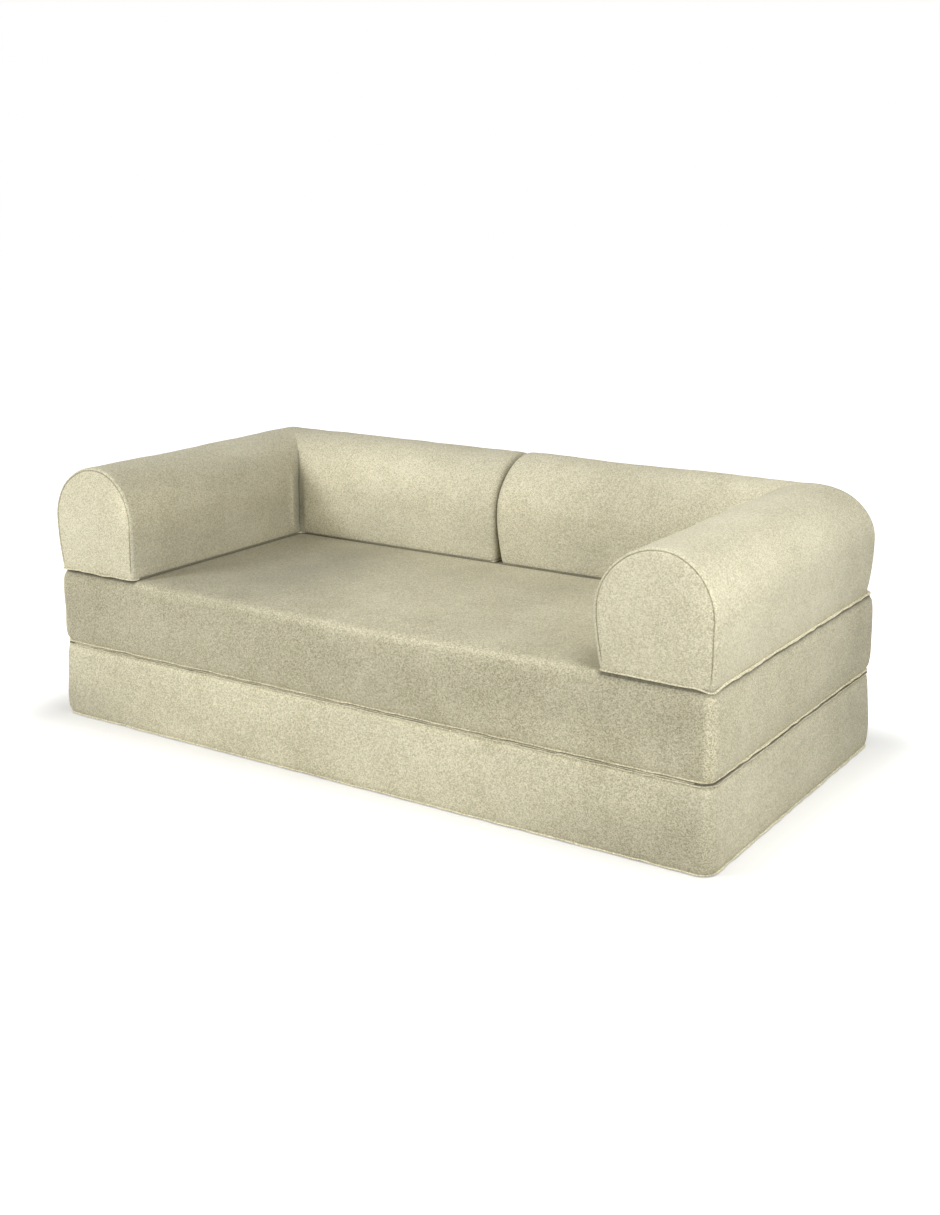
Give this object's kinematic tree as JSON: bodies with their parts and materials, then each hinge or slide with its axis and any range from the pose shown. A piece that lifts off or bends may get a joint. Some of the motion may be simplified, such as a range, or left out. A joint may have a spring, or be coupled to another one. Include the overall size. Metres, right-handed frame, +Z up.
{
  "type": "foam sofa bed",
  "caption": "Low frameless foam sofa bed: a seat of stacked foam mattresses that folds out to the front into a bed, with loose L-shaped bolsters as arms and back.",
  "frame": {"origin": "bottom centre of the closed sofa bed, on the floor", "axes": "+X along the width, to the right seen from the front; +Y to the back; +Z up"},
  "size_m": [1.9, 0.9528, 0.6858],
  "materials": {
    "cover_chenille": "matte",
    "hinge_cloth": "matte",
    "base_cloth": "matte",
    "soft_foam": "matte",
    "support_foam": "matte",
    "zip_tape": "matte",
    "zip_coil": "satin",
    "zip_metal": "satin"
  },
  "bodies": {
    "lower_mattress": {"lower_base_panel": "base_cloth", "lower_bottom_lip": "cover_chenille", "lower_cover": "cover_chenille", "lower_foam_core": "support_foam", "lower_hinge_leaf": "hinge_cloth", "lower_top_lip": "cover_chenille", "lower_top_pad": "soft_foam", "lower_zip_chain": "zip_coil", "lower_zip_placket": "zip_tape"},
    "upper_mattress": {"upper_base_panel": "base_cloth", "upper_bottom_lip": "cover_chenille", "upper_cover": "cover_chenille", "upper_foam_core": "support_foam", "upper_hinge_leaf": "hinge_cloth", "upper_top_pad": "soft_foam", "upper_zip_chain": "zip_coil", "upper_zip_placket": "zip_tape"},
    "left_bolster": {"left_arm_base_panel": "base_cloth", "left_arm_cover": "cover_chenille", "left_arm_foam": "support_foam", "left_back_base_panel": "base_cloth", "left_back_cover": "cover_chenille", "left_back_foam": "support_foam", "left_centre_cap": "cover_chenille", "left_front_cap": "cover_chenille", "left_lip": "cover_chenille", "left_zip_chain": "zip_coil", "left_zip_placket": "zip_tape"},
    "right_bolster": {"right_arm_base_panel": "base_cloth", "right_arm_cover": "cover_chenille", "right_arm_foam": "support_foam", "right_back_base_panel": "base_cloth", "right_back_cover": "cover_chenille", "right_back_foam": "support_foam", "right_centre_cap": "cover_chenille", "right_front_cap": "cover_chenille", "right_lip": "cover_chenille", "right_zip_chain": "zip_coil", "right_zip_placket": "zip_tape"},
    "lower_zip_slider": {"lower_zip_slider": "zip_metal"},
    "lower_zip_pull": {"lower_zip_pull": "zip_metal"},
    "upper_zip_slider": {"upper_zip_slider": "zip_metal"},
    "upper_zip_pull": {"upper_zip_pull": "zip_metal"},
    "left_zip_slider": {"left_zip_slider": "zip_metal"},
    "left_zip_pull": {"left_zip_pull": "zip_metal"},
    "right_zip_slider": {"right_zip_slider": "zip_metal"},
    "right_zip_pull": {"right_zip_pull": "zip_metal"}
  },
  "joints": [
    {"name": "upper_mattress_fold", "type": "hinge", "parent": "lower_mattress", "child": "upper_mattress", "pos_m": [0, -0.478, 0.2002], "axis": [1, 0, 0], "range_deg": [0, 180]},
    {"name": "left_bolster_set_down", "type": "hinge", "parent": "upper_mattress", "child": "left_bolster", "pos_m": [0, 0.491, 0.4006], "axis": [-1, 0, 0], "range_deg": [0, 180]},
    {"name": "right_bolster_set_down", "type": "hinge", "parent": "upper_mattress", "child": "right_bolster", "pos_m": [0, 0.491, 0.4006], "axis": [-1, 0, 0], "range_deg": [0, 180]},
    {"name": "lower_zip_slide", "type": "slide", "parent": "lower_mattress", "child": "lower_zip_slider", "axis": [-1, 0, 0], "range_m": [0, 1.57]},
    {"name": "lower_zip_pull_swing", "type": "hinge", "parent": "lower_zip_slider", "child": "lower_zip_pull", "pos_m": [0.785, 0.4729, 0.046], "axis": [1, 0, 0], "range_deg": [0, 150]},
    {"name": "upper_zip_slide", "type": "slide", "parent": "upper_mattress", "child": "upper_zip_slider", "axis": [-1, 0, 0], "range_m": [0, 1.57]},
    {"name": "upper_zip_pull_swing", "type": "hinge", "parent": "upper_zip_slider", "child": "upper_zip_pull", "pos_m": [0.785, 0.4729, 0.2464], "axis": [1, 0, 0], "range_deg": [0, 150]},
    {"name": "left_zip_slide", "type": "slide", "parent": "left_bolster", "child": "left_zip_slider", "axis": [1, 0, 0], "range_m": [0, 0.61]},
    {"name": "left_zip_pull_swing", "type": "hinge", "parent": "left_zip_slider", "child": "left_zip_pull", "pos_m": [-0.78075, 0.4729, 0.4468], "axis": [1, 0, 0], "range_deg": [0, 150]},
    {"name": "right_zip_slide", "type": "slide", "parent": "right_bolster", "child": "right_zip_slider", "axis": [-1, 0, 0], "range_m": [0, 0.61]},
    {"name": "right_zip_pull_swing", "type": "hinge", "parent": "right_zip_slider", "child": "right_zip_pull", "pos_m": [0.78075, 0.4729, 0.4468], "axis": [1, 0, 0], "range_deg": [0, 150]}
  ],
  "couplings": [
    {"joint": "left_bolster_set_down", "follows": "upper_mattress_fold", "ratio": 1},
    {"joint": "right_bolster_set_down", "follows": "upper_mattress_fold", "ratio": 1}
  ]
}
